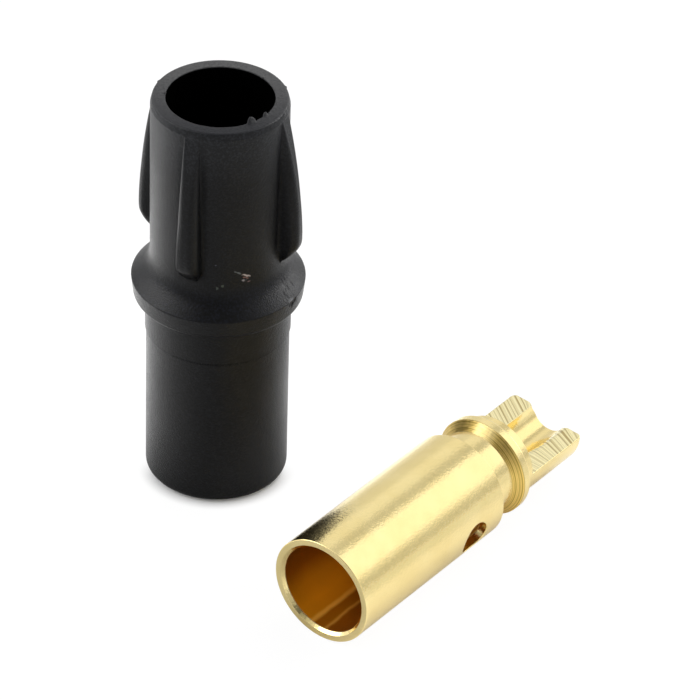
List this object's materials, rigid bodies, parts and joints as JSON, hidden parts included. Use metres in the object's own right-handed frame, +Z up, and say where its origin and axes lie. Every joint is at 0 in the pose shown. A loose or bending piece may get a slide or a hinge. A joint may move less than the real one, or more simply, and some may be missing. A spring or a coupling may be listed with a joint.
{
  "type": "shrouded banana plug",
  "caption": "Shrouded banana plug taken apart: a finned black insulating shroud stands beside its turned gold-plated socket contact, which has a milled solder tail.",
  "frame": {"origin": "centre of the shroud's lower opening, on the surface that both pieces rest on", "axes": "+Z up along the shroud's axis to its finned end, +X to the right of the picture, +Y away from its viewer"},
  "size_m": [0.0195, 0.017, 0.0188],
  "materials": {
    "black_plastic": "fine-grained matte, moulded",
    "gold_plate": "bright gold plating over turned brass"
  },
  "bodies": {
    "root": {"shroud": "black_plastic", "socket_contact": "gold_plate"}
  },
  "joints": []
}
